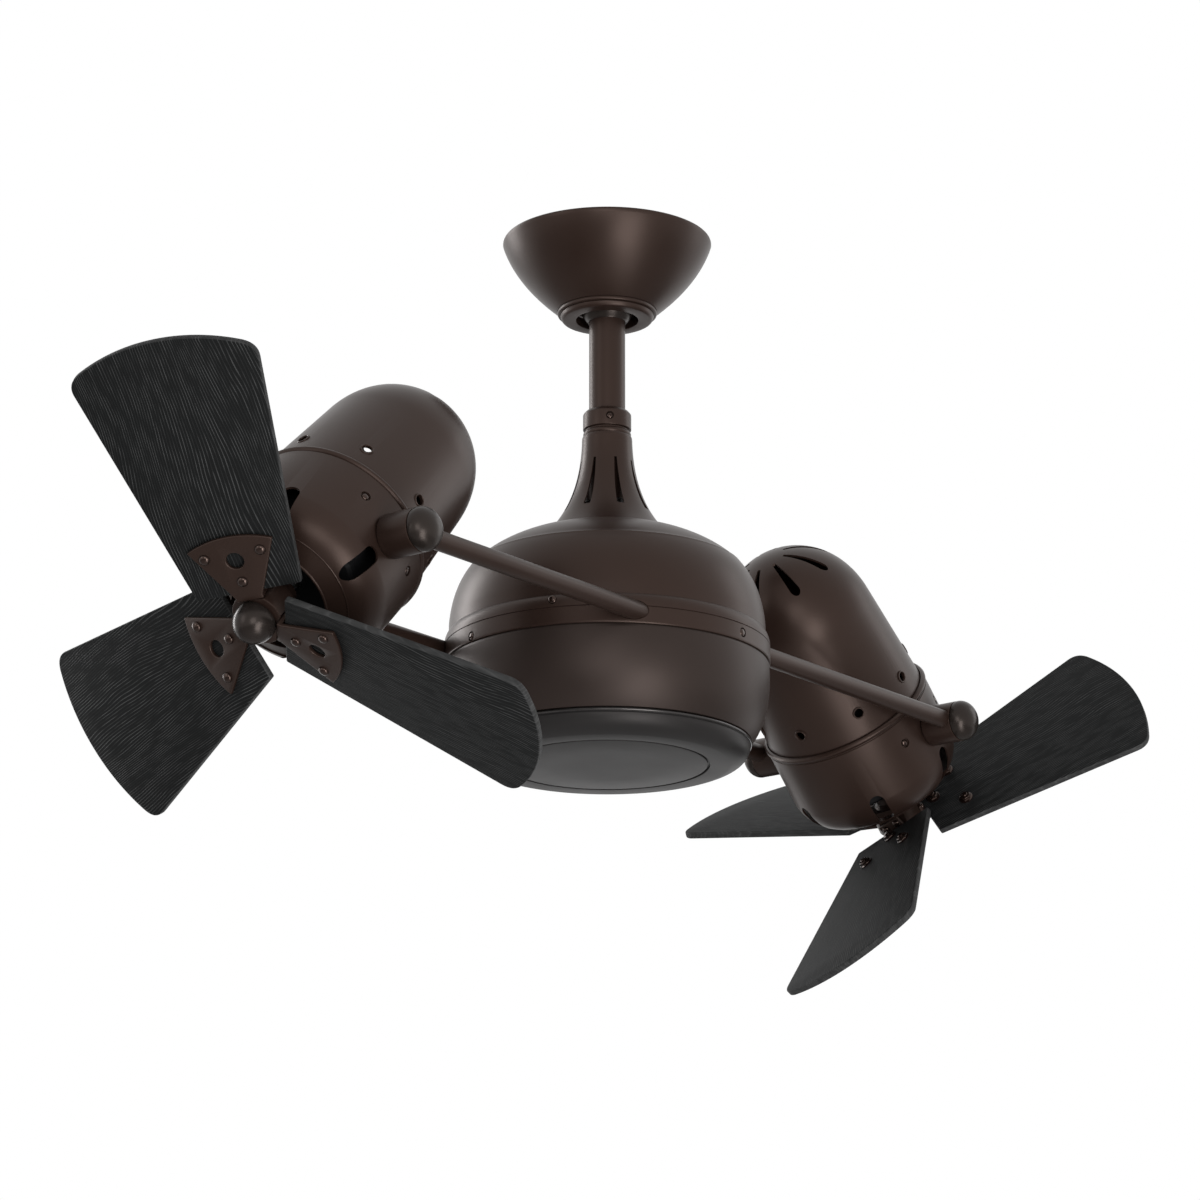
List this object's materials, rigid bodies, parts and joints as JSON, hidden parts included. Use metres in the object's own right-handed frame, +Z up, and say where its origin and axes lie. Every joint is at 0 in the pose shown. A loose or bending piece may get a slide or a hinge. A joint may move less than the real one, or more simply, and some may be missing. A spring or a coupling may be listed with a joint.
{
  "type": "twin head ceiling fan",
  "caption": "Twin head ceiling fan: downrod, turning bowl shaped body and arm-held tilting heads with bullet shaped motor shells and pitched wooden blades.",
  "frame": {"origin": "centre of the canopy's ceiling face, on the axis of the downrod", "axes": "+Z up towards the ceiling, X along the arms with the left head at -X, Y across the arms along the heads' tilt axes"},
  "size_m": [0.987, 0.3814, 0.5155],
  "materials": {
    "bronze": "satin dark bronze, finely textured",
    "satin_bronze": "smooth satin dark bronze",
    "charcoal": "satin charcoal bronze",
    "blade_wood": "matte black with open grain",
    "steel": "plain machined steel",
    "motor_casting": "dark cast aluminium",
    "lamination": "laminated steel with varnished copper coils",
    "insulation": "dark moulded plastic"
  },
  "bodies": {
    "ceiling_mount": {"hanger_bracket": "steel", "canopy": "bronze", "canopy_trim_ring": "bronze"},
    "hanging_rod": {"hanger_ball": "steel", "ball_cross_pin": "steel", "downrod": "bronze", "coupling_collar": "bronze", "bell_cover": "bronze", "spindle": "steel", "spindle_nut": "steel", "slip_ring": "insulation"},
    "turning_body": {"upper_dome": "bronze", "carrier_ring": "bronze", "lower_bowl": "charcoal", "bottom_plate": "charcoal", "centre_cap": "charcoal", "upper_bearing": "steel", "lower_bearing": "steel", "brush_block": "insulation", "left_front_arm": "bronze", "left_front_pivot_knob": "satin_bronze", "left_rear_arm": "bronze", "left_rear_pivot_knob": "satin_bronze", "right_front_arm": "bronze", "right_front_pivot_knob": "satin_bronze", "right_rear_arm": "bronze", "right_rear_pivot_knob": "satin_bronze"},
    "left_head": {"left_rear_shell": "bronze", "left_front_shell": "bronze", "left_motor_frame": "motor_casting", "left_motor_cover": "motor_casting", "left_stator": "lamination", "left_rear_bearing": "steel", "left_front_bearing": "steel"},
    "left_blade_set": {"left_rotor": "steel", "left_hub": "bronze", "left_nose_cap": "satin_bronze", "left_blade_iron_1": "bronze", "left_blade_1": "blade_wood", "left_blade_iron_2": "bronze", "left_blade_2": "blade_wood", "left_blade_iron_3": "bronze", "left_blade_3": "blade_wood"},
    "right_head": {"right_rear_shell": "bronze", "right_front_shell": "bronze", "right_motor_frame": "motor_casting", "right_motor_cover": "motor_casting", "right_stator": "lamination", "right_rear_bearing": "steel", "right_front_bearing": "steel"},
    "right_blade_set": {"right_rotor": "steel", "right_hub": "bronze", "right_nose_cap": "satin_bronze", "right_blade_iron_1": "bronze", "right_blade_1": "blade_wood", "right_blade_iron_2": "bronze", "right_blade_2": "blade_wood", "right_blade_iron_3": "bronze", "right_blade_3": "blade_wood"}
  },
  "joints": [
    {"name": "hanger_swing", "type": "hinge", "parent": "ceiling_mount", "child": "hanging_rod", "pos_m": [0, 0, -0.0295], "axis": [0, 1, 0], "range_deg": [-10, 10]},
    {"name": "body_spin", "type": "hinge", "parent": "hanging_rod", "child": "turning_body", "pos_m": [0, 0, -0.309], "axis": [0, 0, 1], "continuous": true},
    {"name": "left_tilt", "type": "hinge", "parent": "turning_body", "child": "left_head", "pos_m": [-0.3097, 0, -0.309], "axis": [0, 1, 0], "range_deg": [-43.8, 136.2]},
    {"name": "left_blade_spin", "type": "hinge", "parent": "left_head", "child": "left_blade_set", "pos_m": [-0.3097, 0, -0.309], "axis": [-0.6921, 0, -0.7218], "continuous": true},
    {"name": "right_tilt", "type": "hinge", "parent": "turning_body", "child": "right_head", "pos_m": [0.3097, 0, -0.309], "axis": [0, -1, 0], "range_deg": [-45.7, 134.3]},
    {"name": "right_blade_spin", "type": "hinge", "parent": "right_head", "child": "right_blade_set", "pos_m": [0.3097, 0, -0.309], "axis": [0.7157, 0, -0.6984], "continuous": true}
  ]
}
